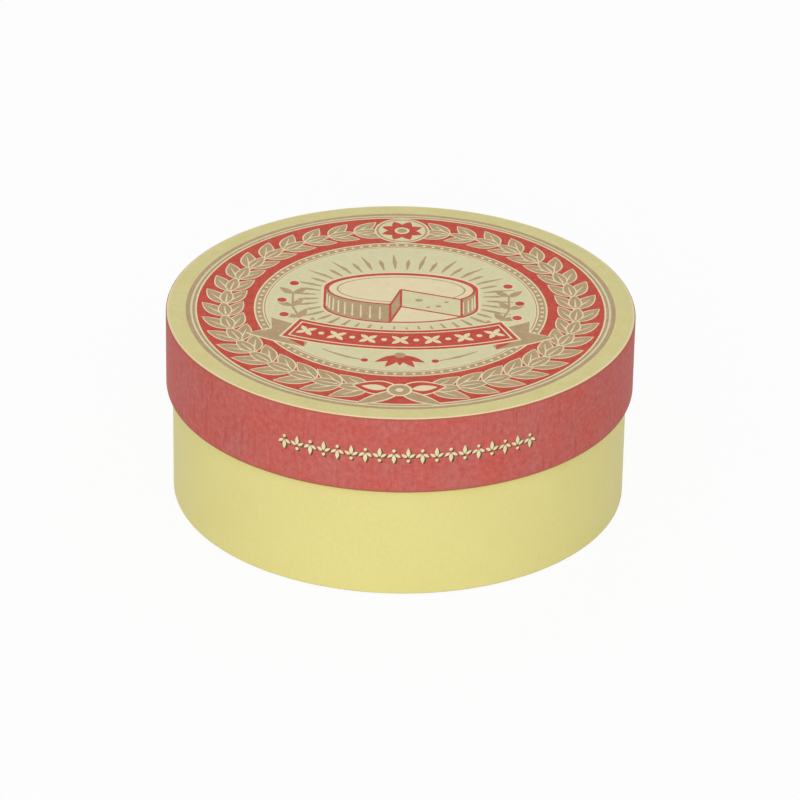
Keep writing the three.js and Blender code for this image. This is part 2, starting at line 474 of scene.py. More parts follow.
# plain off-white paper; the other papers and cards start from it, and the two wraps give their radius
plainFinish = dict(
    deep=(0.82, 0.79, 0.69), light=(0.87, 0.845, 0.76), thread=0.2, threadColour=(0.79, 0.75, 0.64),
    roughness=0.8, shineSpread=0.05, radius=0.0, cloud=150.0, fibre=1900.0, stretch=1.0, relief=0.2,
    grain=(0.2, 0.1), edges=[])
liningPaper = paperMaterial("liningPaper", plainFinish)
liningTurn = dict(Wobble=0.06 * mm, Wobble_Scale=30.0)


def addLining(name, sectionOf, body, node, **turn):
    addTurned(name, sectionOf(*reach(node)), liningPaper, body, "lining_paper", node, **turn)


# strip where a wrap's end covers its start; the free edge is pressed down
def lapMesh(wall, lap, material):
    columns, rows, sink, pressed = 10, 24, 0.05 * mm, 0.55
    z0, z1 = wall.z0 + lap["below"], wall.z1 - lap["above"]
    half = lap["width"] / wall.r / 2

    def spotAt(layer, i, j):
        rise = (lap["thick"] + sink) * (1 if i < columns else pressed)
        angle = math.radians(lap["angle"]) - half + 2 * half * i / columns
        return (*polar(wall.r - sink + layer * rise, angle), z0 + (z1 - z0) * j / rows)

    return slabMesh(spotAt, columns, rows, material)


def addWrap(name, section, wall, look, material, body, slot, node):
    sheet = cleanMesh(turnMesh(section, material, **look["turn"]))
    whole = mergeMeshes([sheet, lapMesh(wall, look["lap"], material)], material)
    addPiece(name, cleanMesh(whole), body, slot, node)


# base wrap: under the foot, up the wall, over the rim and down inside
cover, wallBoard = reach("base_cover_paper"), reach("base_wall_board")
coverPiece = dict(
    turnIn=10 * mm, turnUnder=9 * mm, wallSteps=14,
    turn=dict(Segments=256, Wobble=0.14 * mm, Wobble_Scale=22.0, Seed=3.0),
    lap=dict(angle=98, width=11 * mm, thick=0.14 * mm, below=0.6 * mm, above=0.9 * mm))
yellowFinish = dict(
    plainFinish, deep=(0.696, 0.628, 0.234), light=(0.714, 0.65, 0.25), thread=0.1,
    threadColour=(0.75, 0.692, 0.314), roughness=0.5, shineSpread=0.06, radius=cover.r, cloud=45.0,
    fibre=2400.0, stretch=0.6, relief=0.12, grain=(0.1, 0.09), edges=[
        # edges: paler with wear along the top rim, darker along the bottom edge
        dict(level=cover.z1, width=0.9 * mm, ragged=1.0, share=0.5, colour=(0.78, 0.74, 0.52)),
        dict(level=cover.z0, width=0.7 * mm, ragged=1.2, share=0.35, colour=(0.56, 0.5, 0.24))])
yellowPaper = paperMaterial("yellowPaper", yellowFinish)


def coverSection():
    turnIn, turnUnder, wallSteps = pick(coverPiece, "turnIn turnUnder wallSteps")
    around, bottom = fold + paper, wallBoard.z0
    hoopIn, hoopOut = wallBoard.r - board, cover.r - paper
    low, high = bottom + fold, cover.z1 - paper - fold
    out = [(cover.r - turnUnder, bottom - paper)] + arc(hoopOut - fold, low, around, -90, 0)
    out += run((cover.r, low), (cover.r, high), wallSteps)
    out += arc(hoopOut - fold, high, around, 0, 90) + arc(hoopIn + fold, high, around, 90, 180)
    out += [(hoopIn - paper, cover.z1 - turnIn), (hoopIn, cover.z1 - turnIn)]
    out += arc(hoopIn + fold, high, fold, 180, 90) + arc(hoopOut - fold, high, fold, 90, 0)
    out += run((hoopOut, high), (hoopOut, low), wallSteps)
    return out + arc(hoopOut - fold, low, fold, 0, -90) + [(cover.r - turnUnder, bottom)]


addWrap("baseCover", coverSection(), cover, coverPiece, yellowPaper, "box_base", "yellow_paper",
        "base_cover_paper")

# foot disc, with a softened edge, and the base's linings
foot = reach("base_foot_paper")
footPiece = dict(edgeIn=0.1 * mm, edgeUp=0.05 * mm, turn=dict(Wobble=0.3 * mm, Wobble_Scale=18.0, Seed=5.0))
footFinish = dict(plainFinish, deep=(0.76, 0.72, 0.58), light=(0.82, 0.78, 0.66))


def footSection():
    step = cover.r - coverPiece["turnUnder"]
    return [(0, 0), (foot.r / 2, 0), (foot.r - footPiece["edgeIn"], 0), (foot.r, footPiece["edgeUp"]),
            (foot.r, paper), (step, paper), (step, foot.z1), (0, foot.z1)]


addTurned("baseFoot", footSection(), paperMaterial("footPaper", footFinish), "box_base", "foot_paper",
          "base_foot_paper", **footPiece["turn"])
addLining("baseWallLining", stripSection, "box_base", "base_wall_lining", Seed=2.0, **liningTurn)
addLining("baseFloorLining", discSection, "box_base", "base_floor_lining")
print("base dressed")

# lid band: over the label's turned edge, down the rim, under it and up inside; its top edge is pressed thin
band, label, rimBoard = reach("lid_band_paper"), reach("lid_label_paper"), reach("lid_rim_board")
bandPiece = dict(
    turnIn=10 * mm, labelLap=7 * mm, rise=0.12 * mm, taper=0.4 * mm, thinIn=0.3, thinDown=0.4, thinEnd=0.15,
    wallSteps=10, turn=dict(Segments=256, Wobble=0.16 * mm, Wobble_Scale=26.0, Seed=7.0),
    lap=dict(angle=84, width=12 * mm, thick=0.15 * mm, below=0.7 * mm, above=0.1 * mm))
redFinish = dict(
    plainFinish, deep=(0.512, 0.085, 0.064), light=(0.478, 0.126, 0.11), thread=0.15,
    threadColour=(0.53, 0.15, 0.13), roughness=0.62, shineSpread=0.08, radius=band.r, cloud=75.0,
    fibre=1650.0, stretch=0.85, relief=0.3, grain=(0.28, 0.52), grainTint=(1.0, 2.0, 2.0),
    streak=dict(share=0.9, colour=(0.443, 0.052, 0.04), patch=36.0, fibre=750.0, stretch=0.12,
                lineSpan=(0.51, 0.7), patchSpan=(0.36, 0.58)),
    # edges: painted shade, a dark line along the turned-under bottom edge and a painted shadow line along the
    # top under the label's turned edge
    edges=[dict(level=band.z0 + 0.3 * mm, width=0.8 * mm, ragged=0.4, share=0.8, colour=(0.36, 0.11, 0.045)),
           dict(level=band.z1 - 0.3 * mm, width=0.4 * mm, ragged=0.5, share=0.6, colour=(0.36, 0.1, 0.05))])
redPaper = paperMaterial("redPaper", redFinish)


def bandSection():
    turnIn, labelLap, taper, wallSteps = pick(bandPiece, "turnIn labelLap taper wallSteps")
    thinIn, thinDown, thinEnd = pick(bandPiece, "thinIn thinDown thinEnd")
    around, hoopIn, hoopOut = fold + paper, rimBoard.r - board, rimBoard.r
    top, low, lapZ = band.z1 + bandPiece["rise"], band.z0 + paper + fold, label.z1 - labelLap
    out = [(hoopIn - paper, band.z0 + turnIn)]
    out += arc(hoopIn + fold, low, around, 180, 270) + arc(band.r - around, low, around, -90, 0)
    out += run((band.r, low), (band.r, top - taper), wallSteps)
    out += [(band.r, top - taper), (band.r - paper * thinIn, top - taper * thinDown)]
    out += [(label.r + paper * thinEnd, top), (label.r, top), (label.r, lapZ), (hoopOut, lapZ)]
    out += arc(hoopOut - fold, low, fold, 0, -90) + arc(hoopIn + fold, low, fold, 270, 180)
    return out + [(hoopIn, band.z0 + turnIn)]


addWrap("lidBand", bandSection(), band, bandPiece, redPaper, "box_lid", "red_paper", "lid_band_paper")
addLining("lidRimLining", stripSection, "box_lid", "lid_rim_lining", Seed=4.0, **liningTurn)
addLining("lidTopLining", discSection, "box_lid", "lid_top_lining")

# label print, drawn in millimetres with y away from the viewer; later shapes cover earlier ones
art = []


def ink(name, shape):
    art.append((name, shape))


def roundShape(x, y, radius, points=24, squash=1.0):
    angles = [math.tau * i / points for i in range(points)]
    return [(x + radius * math.cos(a), y + radius * squash * math.sin(a)) for a in angles]


# a leaf is fullest just before its middle; a bent one first sways a little the other way
def leafShape(x, y, angle, length, width, grow=0.0, bend=0.0, points=9):
    fullness, bluntness, counter = 0.85, 0.9, 0.2
    left, right = [], []
    for i in range(points + 1):
        t = i / points
        along = -grow + (length + 2 * grow) * t
        half = (width / 2 + grow) * math.sin(math.pi * t ** fullness) ** bluntness
        sway = bend * length * (t * t - t * counter)
        left.append((along, sway + half))
        if 0 < i < points:
            right.append((along, sway - half))
    ca, sa = math.cos(angle), math.sin(angle)
    return [(x + a * ca - b * sa, y + a * sa + b * ca) for a, b in left + right[::-1]]


# a line along a path, its width passing evenly through the given ones
def strokeShape(path, widths):
    left, right = [], []
    for i, (x, y) in enumerate(path):
        (ax, ay), (bx, by) = path[max(i - 1, 0)], path[min(i + 1, len(path) - 1)]
        size = math.hypot(bx - ax, by - ay) or 1
        t = i / (len(path) - 1) * (len(widths) - 1)
        k = min(int(t), len(widths) - 2)
        half = (widths[k] + (widths[k + 1] - widths[k]) * (t - k)) / 2
        nx, ny = -(by - ay) / size * half, (bx - ax) / size * half
        left.append((x + nx, y + ny))
        right.append((x - nx, y - ny))
    return left + right[::-1]


def inkDiscs(x, y, discs):
    for name, radius, points in discs:
        ink(name, roundShape(x, y, radius, points))


# a leaf with a pale outline round it
def inkLeaf(name, x, y, turn, length, width, outline, bend):
    ink("pale", leafShape(x, y, turn, length, width, outline, bend))
    ink(name, leafShape(x, y, turn, length, width, 0.0, bend))


frameArt = dict(
    rings=(("taupe", 71.4), ("panel", 69.9), ("taupe", 69.2), ("pale", 68.3), ("red", 67.7), ("pale", 48.8),
           ("taupe", 48.2), ("pale", 45.9), ("taupe", 45.4), ("pale", 45.0), ("panel", 44.6)),
    ringPoints=160, beads=96, beadRing=47.05, beadSize=0.62)


def drawFrame():
    inkDiscs(0, 0, [(*ring, frameArt["ringPoints"]) for ring in frameArt["rings"]])
    for k in range(frameArt["beads"]):
        x, y = polar(frameArt["beadRing"], math.tau * (k + 0.5) / frameArt["beads"])
        ink("pale", roundShape(x, y, frameArt["beadSize"], points=10))


# leaves in threes up both sides, each with its lean and size
wreathArt = dict(
    ring=58.2, stem=166, stemInks=(("pale", (2.4, 1.6)), ("taupe", (1.4, 0.8))), sprays=18, first=10,
    sweep=154, leaves=((0.66, 1.0), (-0.66, 0.94), (0.0, 0.8)), length=13.5, width=5.4, shrink=0.22,
    bend=0.12, outline=0.5, rib=(0.1, 0.4, 0.72), ribWidths=(0.7, 0.5, 0.2))


def drawWreath():
    look = wreathArt
    ring, sprays = look["ring"], look["sprays"]
    for side in (-1, 1):
        for name, widths in look["stemInks"]:
            ink(name, strokeShape(arc(0, 0, ring, -90, -90 + side * look["stem"], steps=60), widths))
    for k in range(sprays):
        for side in (-1, 1):
            a = math.radians(-90 + side * (look["first"] + look["sweep"] * k / (sprays - 1)))
            x, y = polar(ring, a)
            for lean, share in look["leaves"]:
                size = share * (1.0 - look["shrink"] * k / sprays)
                turn, length = a + side * (math.pi / 2 - lean), look["length"] * size
                inkLeaf("taupe", x, y, turn, length, look["width"] * size, look["outline"],
                        side * lean * look["bend"])
                rib = [polar(length * t, turn, x, y) for t in look["rib"]]
                ink("pale", strokeShape(rib, look["ribWidths"]))


rosetteArt = dict(
    discs=(("pale", 9.4, 48), ("taupe", 8.8, 48), ("panel", 8.0, 48)), petals=8, petalStart=1.2,
    petal=(6.2, 3.7), eye=(("pale", 2.538, 24), ("taupe", 1.692, 24)))


def drawRosette(x, y):
    inkDiscs(x, y, rosetteArt["discs"])
    for k in range(rosetteArt["petals"]):
        a = math.tau * (k + 0.5) / rosetteArt["petals"]
        ink("red", leafShape(*polar(rosetteArt["petalStart"], a, x, y), a, *rosetteArt["petal"]))
    inkDiscs(x, y, rosetteArt["eye"])


# loops and tails: ink, lift, length, width and bend
bowArt = dict(
    bands=(("red", 0.2, 15, 8.5, 0.0), ("taupe", -0.75, 17, 4.2, 0.18)), outline=0.7, gapAt=(4, 0.8),
    gap=(8.5, 3.825), knot=(("pale", 4.2, 40), ("taupe", 3.4, 40), ("pale", 1.3, 24)))


def drawBow(x, y):
    gapX, gapY = bowArt["gapAt"]
    for side in (-1, 1):
        for name, lift, length, width, bend in bowArt["bands"]:
            turn = (0 if side > 0 else math.pi) + side * lift
            inkLeaf(name, x, y, turn, length, width, bowArt["outline"], side * bend)
            if name == "red":  # the open loop
                ink("pale", leafShape(x + side * gapX, y + gapY, turn, *bowArt["gap"]))
    inkDiscs(x, y, bowArt["knot"])


# a wheel of cheese with a wedge cut out, and rays behind it, every other one longer
cheeseArt = dict(
    x=0, y=13.5, wide=25, deep=11.5, tall=12.5, outline=(("pale", 1.6), ("red", 0.8)), line=(0.8, 0.8),
    rays=44, rayDrop=6, ray=((27.5, 21), (32, 26), (34.5, 28.5)), shortRay=(1.0, 1.0, 1.0),
    longRay=(1.03, 1.0, 1.13), rayWidths=(0.5, 1.5, 0.3), facePoints=72, rind=(-170, -6, 8),
    rindGaps=(2.0, 1.6), rindWidths=(0.4, 0.6), cut=(-98, -36), cutSteps=12, cutDrop=0.9,
    face=(("red", 0.0, 0.0), ("pale", 0.9, 0.8), ("taupe", 3.4, 2.0), ("pale", 4.0, 2.45)),
    holes=((0.3, 0.45, 1.3), (0.62, 0.62, 1.0), (0.75, 0.3, 0.8), (0.45, 0.78, 0.7)))


def drawCheese():
    look = cheeseArt
    x, y, rx, ry, tall, line, facePoints = pick(look, "x y wide deep tall line facePoints")
    for k in range(look["rays"]):
        a = math.tau * (k + 0.5) / look["rays"]
        path = [(x + px * s * math.cos(a), y - look["rayDrop"] + py * s * math.sin(a))
                for (px, py), s in zip(look["ray"], look["longRay" if k % 2 else "shortRay"])]
        ink("taupe", strokeShape(path, look["rayWidths"]))

    def rim(angle, drop=0.0):
        a = math.radians(angle)
        return (x + rx * math.cos(a), y + ry * math.sin(a) - drop)

    def grown(points, g):
        middle, wider, higher = y - tall / 2, 1 + g / rx, 1 + g / (ry + tall / 2)
        return [(x + (px - x) * wider, middle + (py - middle) * higher) for px, py in points]

    wall = [rim(a) for a in range(-180, 1, 6)] + [rim(a, tall) for a in range(0, -181, -6)]
    for name, g in look["outline"]:
        ink(name, grown(roundShape(x, y, rx, facePoints, ry / rx), g))
        ink(name, grown(wall, g))
    ink("taupe", wall)
    above, below = look["rindGaps"]
    for a in range(*look["rind"]):  # pale lines down the rind
        ink("pale", strokeShape([rim(a, above), rim(a, tall - below)], look["rindWidths"]))
    for name, inX, inY in look["face"]:
        ink(name, roundShape(x, y, rx - inX, facePoints, (ry - inY) / (rx - inX)))
    a0, a1 = look["cut"]
    steps = [a0 + (a1 - a0) * i / look["cutSteps"] for i in range(look["cutSteps"] + 1)]
    p0, p1, q0, q1 = rim(a0), rim(a1), rim(a0, tall), rim(a1, tall)
    middle, deepMiddle = (x, y), (x, y - tall)
    ink("panel", [middle, p0] + [rim(a, tall + look["cutDrop"]) for a in steps] + [p1])
    ink("pale", [deepMiddle] + [rim(a, tall) for a in steps])
    ink("taupe", [middle, p0, q0, deepMiddle])
    ink("panel", [middle, deepMiddle, q1, p1])
    for across, down, size in look["holes"]:
        hole = (x + (p1[0] - x) * across, y + (p1[1] - y) * across - tall * down)
        ink("taupe", roundShape(*hole, size, points=18, squash=0.8))
    for path in ([p0, middle, p1], [middle, deepMiddle], [deepMiddle, q1, p1], [p0, q0, deepMiddle]):
        for pair in zip(path, path[1:]):
            ink("red", strokeShape(pair, line))
    ink("red", strokeShape([rim(a, tall) for a in steps], line))


sprigArt = dict(
    stem=((29.5, -14.5), (33.5, -8), (36, 0), (36, 9)), stemWidths=(1.0, 0.7), rise=(0.9, 1.15, 1.35, 1.57),
    lean=0.75, leaf=(6.8, 2.7), berries=((38.6, -6), (39.6, 4.5), (35.8, 17)),
    berry=(("pale", 2.1, 24), ("red", 1.6, 24)), flowerY=-34.2, eyeUp=0.2, eyeSize=1.8,
    petals=((-2.62, 9.5, 3.0), (-2.1, 9.5, 3.0), (-1.04, 9.5, 3.0), (-0.52, 9.5, 3.0),
            (-math.pi / 2, 7.0, 2.6)),
    curl=39.5, curlSpan=(17, 40), curlWidths=(0.4, 1.2, 0.4), curlDot=1.2)


def drawSprigs():
    look = sprigArt
    for side in (-1, 1):
        stem = [(side * x, y) for x, y in look["stem"]]
        ink("taupe", strokeShape(stem, look["stemWidths"]))
        for (x, y), rise in zip(stem, look["rise"]):
            for lean in (look["lean"], -look["lean"]):
                turn = (rise if side > 0 else math.pi - rise) + lean
                ink("taupe", leafShape(x, y, turn, *look["leaf"]))
        for x, y in look["berries"]:
            inkDiscs(side * x, y, look["berry"])
    for petal in look["petals"]:
        ink("red", leafShape(0, look["flowerY"], *petal))
    ink("taupe", roundShape(0, look["flowerY"] + look["eyeUp"], look["eyeSize"]))
    for side in (-1, 1):
        start, stop = (-90 + side * angle for angle in look["curlSpan"])
        curl = arc(0, 0, look["curl"], start, stop, steps=14)
        ink("taupe", strokeShape(curl, look["curlWidths"]))
        ink("red", roundShape(*curl[0], look["curlDot"], points=20))


# curved about a point on the far half of the label; half, tail, tuck, notch and step are degrees
ribbonArt = dict(
    y=62, inner=78.5, outer=92.0, half=25.0, tail=8.0, tailDrop=4.5, tailGrow=0.6, tuck=5, notch=3.2,
    tailInks=(("pale", 0.7), ("taupe", 0.0)), motifs=13, step=3.55, cross=(3.9, 1.9), dot=1.0,
    tailSteps=8, bandSteps=28,
    bands=(("pale", 0.8, 0.5), ("red", 0.0, 0.0), ("pale", -1.3, -0.9), ("red", -1.9, -1.3)))


def drawRibbon():
    look = ribbonArt
    cy, inner, outer, half, tailSteps, bandSteps = pick(look, "y inner outer half tailSteps bandSteps")
    tailY, centre = cy - look["tailDrop"], (inner + outer) / 2
    for side in (-1, 1):  # folded tails with a notch
        a0 = -90 + side * (half - look["tuck"])
        for name, g in look["tailInks"]:
            a1 = -90 + side * (half + look["tail"] + g * look["tailGrow"])
            notch = polar(centre, math.radians(a1 - side * look["notch"]), 0, tailY)
            ink(name, arc(0, tailY, outer + g, a0, a1, tailSteps) + [notch]
                + arc(0, tailY, inner - g, a1, a0, tailSteps))
        crease, corner = math.radians(a0), math.radians(-90 + side * half)
        ink("red", [polar(outer, corner, 0, cy), polar(outer, crease, 0, cy), polar(outer, crease, 0, tailY)])
    for name, g, h in look["bands"]:
        a0, a1 = -90 - half - h, -90 + half + h
        ink(name, arc(0, cy, outer + g, a0, a1, bandSteps) + arc(0, cy, inner - g, a1, a0, bandSteps))
    for k in range(look["motifs"]):  # crosses of leaves, and dots between them
        a = math.radians(-90 + (k - look["motifs"] // 2) * look["step"])
        x, y = polar(centre, a, 0, cy)
        if k % 2:
            ink("pale", roundShape(x, y, look["dot"], points=20))
            continue
        for spin in range(4):
            ink("pale", leafShape(x, y, a + math.pi / 4 + spin * math.pi / 2, *look["cross"]))


drawFrame()
drawWreath()
drawRosette(0, wreathArt["ring"])
drawBow(0, -wreathArt["ring"])
drawCheese()
drawSprigs()
drawRibbon()
print("label drawing:", len(art), "shapes")

labelPiece = dict(corner=0.45 * mm, segments=256, weld=2e-6, printGap=1e-4)
labelFinish = dict(
    plainFinish, deep=(0.708, 0.621, 0.254), light=(0.758, 0.683, 0.312), thread=0.14,
    threadColour=(0.817, 0.767, 0.454), roughness=0.55, shineSpread=0.06, cloud=160.0, fibre=2200.0,
    relief=0.14, grain=(0.3, 0.12),
    # edges: a paler cream line round the rim, partly worn paper edge and partly painted highlight
    edges=[dict(by="Reach", level=label.r - 0.2 * mm, width=0.7 * mm, ragged=0.5, share=0.9,
                colour=(0.905, 0.743, 0.444))])
labelPaper = paperMaterial("labelPaper", labelFinish)


# printing ink: the paper's grain, with small misses where the paper shows
def inkMaterial(name, look):
    material, tree, shader, place = openMaterial(name, look)
    fine, broad = look["grain"]
    fibre = placeGroup(tree, fibreGroup, Vector=place, Cloud_Size=look["cloud"], Fine_Grain=fine,
                       Broad_Grain=broad, Fibre_Size=labelFinish["fibre"])
    tone = mixColour(tree, fibre["Cloud"].spread(*softSpan), look["deep"], look["light"])
    tone = mixColour(tree, 1.0, tone, fibre["Grain"], "MULTIPLY")
    missed = fibre["Fibre"].spread(look["missAt"], look["missAt"] + look["missSpan"]) * look["miss"]
    tone = mixColour(tree, missed, tone, labelFinish["light"])
    closeMaterial(tree, shader, tone, fibre["Height"], labelFinish["relief"], paperDepth)
    return material


plainInk = dict(roughness=0.55, cloud=260.0, missAt=0.6, missSpan=0.12, miss=0.4, grain=(0.3, 0.12))
inkFinishes = dict(
    red=dict(plainInk, deep=(0.535, 0.036, 0.014), light=(0.62, 0.067, 0.036), roughness=0.5, missAt=0.58,
             miss=0.5, grain=(0.6, 0.55)),
    taupe=dict(plainInk, deep=(0.464, 0.315, 0.164), light=(0.535, 0.377, 0.207), roughness=0.52,
               grain=(0.45, 0.4)),
    panel=dict(plainInk, deep=(0.749, 0.696, 0.398), light=(0.794, 0.735, 0.453)),
    pale=dict(plainInk, deep=(0.86, 0.74, 0.444), light=(0.9, 0.78, 0.502), missAt=0.66, miss=0.3))
inks = {key: inkMaterial("ink" + key.capitalize(), look) for key, look in inkFinishes.items()}
print("paper and ink finishes ready")


# lays the drawing into one flat sheet, each face with the ink printed last on it
def labelMesh():
    corner, segments, weld, printGap = pick(labelPiece, "corner segments weld printGap")
    top, under, flat = label.z1, label.z1 - paper, label.r - corner
    section = [(0, under), (flat / 2, under)] + arc(rimBoard.r - fold, under - fold, fold, 90, 0)
    section += [(rimBoard.r, label.z0), (label.r, label.z0)] + arc(flat, top - corner, corner, 0, 90)
    shell = turnMesh(section, labelPaper, Segments=segments)
    points, faces, names = [], [], []
    for name, shape in [("paper", roundShape(0, 0, flat / mm, segments))] + art:
        area = sum(a[0] * b[1] - b[0] * a[1] for a, b in zip([shape[-1]] + shape, shape))
        shape = shape if area > 0 else shape[::-1]
        faces.append(list(range(len(points), len(points) + len(shape))))
        points += [Vector(p) for p in shape]
        names.append(name)
    insideOnly, withSources = 1, True  # triangles inside the shapes, each with the shapes over it
    spots, _, cells, _, _, sources = delaunay_2d_cdt(points, [], faces, insideOnly, printGap, withSources)
    order = ["paper", *inks]
    sheet = bpy.data.meshes.new("sheet")
    sheet.from_pydata([(p.x * mm, p.y * mm, top) for p in spots], [], cells)
    sheet.polygons.foreach_set("material_index", [order.index(names[max(s)]) if s else 0 for s in sources])
    return cleanMesh(mergeMeshes([shell, sheet], labelPaper, *inks.values(), gap=weld), foldAngle=50)


addPiece("lidLabel", labelMesh(), "box_lid", "label_paper", "lid_label_paper")
print("lid dressed")


# ornament row on the band: two small palmettes taking turns, bent round the wall
def makeRowTree():
    tree, take = openTree("ornamentRow", First_Motif="Object", Second_Motif="Object", Count=21,
                          Pitch=4 * mm, Height=54 * mm, Slide=0.0, Radius=78 * mm)
    first = (take["Count"] - 1.0) * take["Pitch"] * -0.5 + take["Slide"]
    start = vector(tree, first, 0.0, take["Height"])
    line = addWire(tree, "GeometryNodeMeshLine", mode="OFFSET", Count=take["Count"], Start_Location=start,
                   Offset=vector(tree, take["Pitch"]))
    motifs = [addWire(tree, "GeometryNodeObjectInfo", "Geometry", Object=take[key], As_Instance=True)
              for key in ("First Motif", "Second Motif")]
    odd = addWire(tree, "GeometryNodeInputIndex").then("MODULO", 2.0)
    copies = addWire(tree, "GeometryNodeInstanceOnPoints", Points=line, Instance=joinWires(tree, motifs),
                     Pick_Instance=True, Instance_Index=odd)
    whole = addWire(tree, "GeometryNodeRealizeInstances", Geometry=copies)
    x, y, z = addWire(tree, "GeometryNodeInputPosition").parts()
    turn, out = x / take["Radius"], y * -1.0 + take["Radius"]
    around = vector(tree, out * turn.then("SINE"), out * turn.then("COSINE") * -1.0, z)
    return closeTree(tree, take, addWire(tree, "GeometryNodeSetPosition", Geometry=whole, Position=around))


# thin prisms from flat outlines; x along the wall, z up, y outwards is minus
def motifObject(shapes, under, over):
    bm = bmesh.new()
    for shape in shapes:
        face = bm.faces.new([bm.verts.new((x * mm, -over, z * mm)) for x, z in shape])
        for part in bmesh.ops.extrude_face_region(bm, geom=[face])["geom"]:
            if isinstance(part, bmesh.types.BMVert):
                part.co.y = under
    bmesh.ops.recalc_face_normals(bm, faces=bm.faces)
    return addObject("motif", meshOf(bm))


# tall and start are millimetres; a palmette's leaves have a lean, then length and width against its height
rowPiece = dict(
    count=19, pitch=4.6 * mm, height=52.6 * mm, slide=3.2 * mm, tall=5.0, start=0.42, leafDrop=0.16,
    leaves=((0.0, 0.64, 0.26), (1.0, 0.44, 0.2), (-1.0, 0.44, 0.2)), dotDrop=0.36, dotSize=0.11,
    under=0.03 * mm, paleOver=0.05 * mm, shadeOver=0.03 * mm, shadeRight=0.55 * mm, shadeDown=0.42 * mm)
paleFinish = dict(plainInk, deep=(0.69, 0.615, 0.335), light=(0.76, 0.695, 0.44), roughness=0.5, missAt=0.7,
                  miss=0.2)
oliveFinish = dict(plainInk, deep=(0.081, 0.054, 0.02), light=(0.117, 0.085, 0.038), roughness=0.6,
                   missAt=0.7, miss=0.15)
paleFoil, oliveShade = inkMaterial("foilPale", paleFinish), inkMaterial("shadeOlive", oliveFinish)


def palmette(up):
    tall, start, leafDrop, dotDrop, dotSize = pick(rowPiece, "tall start leafDrop dotDrop dotSize")
    shapes = []
    for lean, length, width in rowPiece["leaves"]:
        turn = up * math.pi / 2 + lean
        x, y = start * math.cos(turn), up * (start * abs(math.sin(turn)) - tall * leafDrop)
        shapes.append(leafShape(x, y, turn, tall * length, tall * width))
    return shapes + [roundShape(0, -up * tall * dotDrop, tall * dotSize, points=14)]


rowTree = makeRowTree()
for name, finish, right, down, over in (
        ("lidOrnament", paleFoil, 0.0, 0.0, rowPiece["paleOver"]),
        ("lidOrnamentShade", oliveShade, *pick(rowPiece, "shadeRight shadeDown shadeOver"))):
    upright, upturned = (motifObject(palmette(up), rowPiece["under"], over) for up in (1, -1))
    row = bakeTree(rowTree, First_Motif=upright, Second_Motif=upturned, Count=rowPiece["count"],
                   Pitch=rowPiece["pitch"], Height=rowPiece["height"] - down,
                   Slide=rowPiece["slide"] + right, Radius=band.r, Material=finish)
    for motif in (upright, upturned):
        bpy.data.meshes.remove(motif.data)
    addPiece(name, cleanMesh(row), "box_lid", "red_paper")
print("ornament row set")

# insert: a card hoop, and on it the shelf, with its edge slit and folded down round the dish
hoopPiece = dict(thick=1.0 * mm, turn=dict(Wobble=0.1 * mm, Wobble_Scale=20.0, Seed=9.0))
cardFinish = dict(plainFinish, deep=(0.8, 0.76, 0.65), light=(0.86, 0.82, 0.73), cloud=90.0, relief=0.25)
insertCard = paperMaterial("insertCard", cardFinish)
addTurned("insertHoop", stripSection(*reach("insert_hoop"), hoopPiece["thick"]), insertCard, "box_base",
          "insert_card", "insert_hoop", **hoopPiece["turn"])

shelf = reach("insert_shelf")
shelfPiece = dict(thick=1.0 * mm, hole=66.5 * mm, tabs=24, slit=0.7 * mm, corner=4.0 * mm, skin=0.02 * mm,
                  loose=0.002, seed=4)


def makeRingTree():  # copies of one tab round the axis, each a little off its place
    tree, take = openTree("ringOfTabs", Tab="Object", Count=24, Seed=4, Loose=0.004)
    line = addWire(tree, "GeometryNodeMeshLine", mode="OFFSET", Count=take["Count"], Offset=(0, 0, 0))
    loose = addNode(tree, "FunctionNodeRandomValue", data_type="FLOAT", Seed=take["Seed"])
    plug(loose.inputs[2], take["Loose"] * -1.0)  # least and most of the float kind
    plug(loose.inputs[3], take["Loose"])
    turn = addWire(tree, "GeometryNodeInputIndex") / take["Count"] * math.tau + Wire(loose.outputs[1])
    spin = addWire(tree, "FunctionNodeEulerToRotation", Euler=vector(tree, z=turn))
    tab = addWire(tree, "GeometryNodeObjectInfo", "Geometry", Object=take["Tab"], As_Instance=True)
    copies = addWire(tree, "GeometryNodeInstanceOnPoints", Points=line, Instance=tab, Rotation=spin)
    return closeTree(tree, take, copies)


def tabMesh():
    thick, hole, corner, skin = pick(shelfPiece, "thick hole corner skin")
    columns, rows, top = 12, 8, shelf.z1 - thick
    half = math.pi / shelfPiece["tabs"] - shelfPiece["slit"] / hole / 2

    def spotAt(layer, i, j):
        a = -half + 2 * half * i / columns
        near = max(corner - (half - abs(a)) * hole, 0) / corner  # rounded lower corners
        bottom = shelf.z0 + corner * (1 - math.sqrt(max(1 - near * near, 0)))
        return (*polar(hole + (thick - skin if layer else skin), a), bottom + (top - bottom) * j / rows)

    return slabMesh(spotAt, columns, rows)


def shelfMesh():
    thick, hole, tabs, loose, seed = pick(shelfPiece, "thick hole tabs loose seed")
    inner, under = hole + thick, shelf.z1 - thick
    section = [(shelf.r, under), (shelf.r, shelf.z1)] + run((shelf.r, shelf.z1), (inner, shelf.z1), steps=4)
    section += arc(inner, under, thick, 90, 180) + [(inner, under)]
    ring = cleanMesh(turnMesh(section, insertCard))
    tab = addObject("tab", tabMesh())
    folded = bakeTree(makeRingTree(), Tab=tab, Count=tabs, Seed=seed, Loose=loose, Material=insertCard)
    bpy.data.meshes.remove(tab.data)
    return cleanMesh(mergeMeshes([ring, folded], insertCard))


addPiece("insertShelf", shelfMesh(), "box_base", "insert_card", "insert_shelf")

